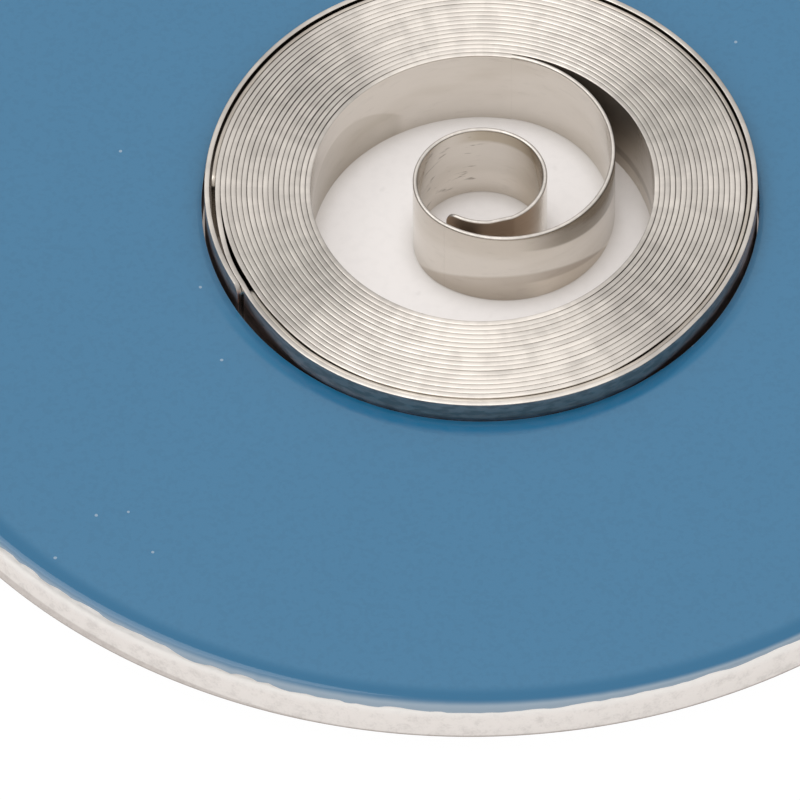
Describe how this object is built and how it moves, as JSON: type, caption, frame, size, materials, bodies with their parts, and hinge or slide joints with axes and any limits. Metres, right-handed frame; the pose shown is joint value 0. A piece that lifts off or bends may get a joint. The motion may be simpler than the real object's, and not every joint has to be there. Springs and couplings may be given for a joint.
{
  "type": "watch mainspring",
  "caption": "Automatic watch mainspring with slipping bridle, wound in its round lacquered transport ring, with free inner coils.",
  "frame": {"origin": "on the axis of the winding and of the ring, level with the strip's lower edge, on which the part stands", "axes": "+Z along the winding's axis, towards the lacquered face; +X to the right in the picture, -Y towards its camera"},
  "size_m": [0.0244, 0.0244, 0.0019],
  "materials": {
    "bare_aluminium": "satin, blanked edge",
    "blue_lacquer": "semi-gloss",
    "spring_steel": "polished rolled strip",
    "bridle_steel": "satin rolled strip"
  },
  "bodies": {
    "spring_pack": {"spring_winding": "spring_steel", "slip_bridle": "bridle_steel", "spring_loop": "spring_steel"},
    "transport_ring": {"ring_plate": "bare_aluminium", "face_lacquer": "blue_lacquer"},
    "arbor_end": {"inner_coil": "spring_steel"}
  },
  "joints": [
    {"name": "ring_push_off", "type": "slide", "parent": "spring_pack", "child": "transport_ring", "axis": [0, 0, 1], "range_m": [-0.00047, 0.0014]},
    {"name": "wind_up", "type": "hinge", "parent": "spring_pack", "child": "arbor_end", "pos_m": [0.0001, 0.00028, 0], "axis": [0, 0, 1], "range_deg": [-150, 0], "stiffness_Nm_per_rad": 0.00004, "deforming": ["spring_loop"]}
  ]
}
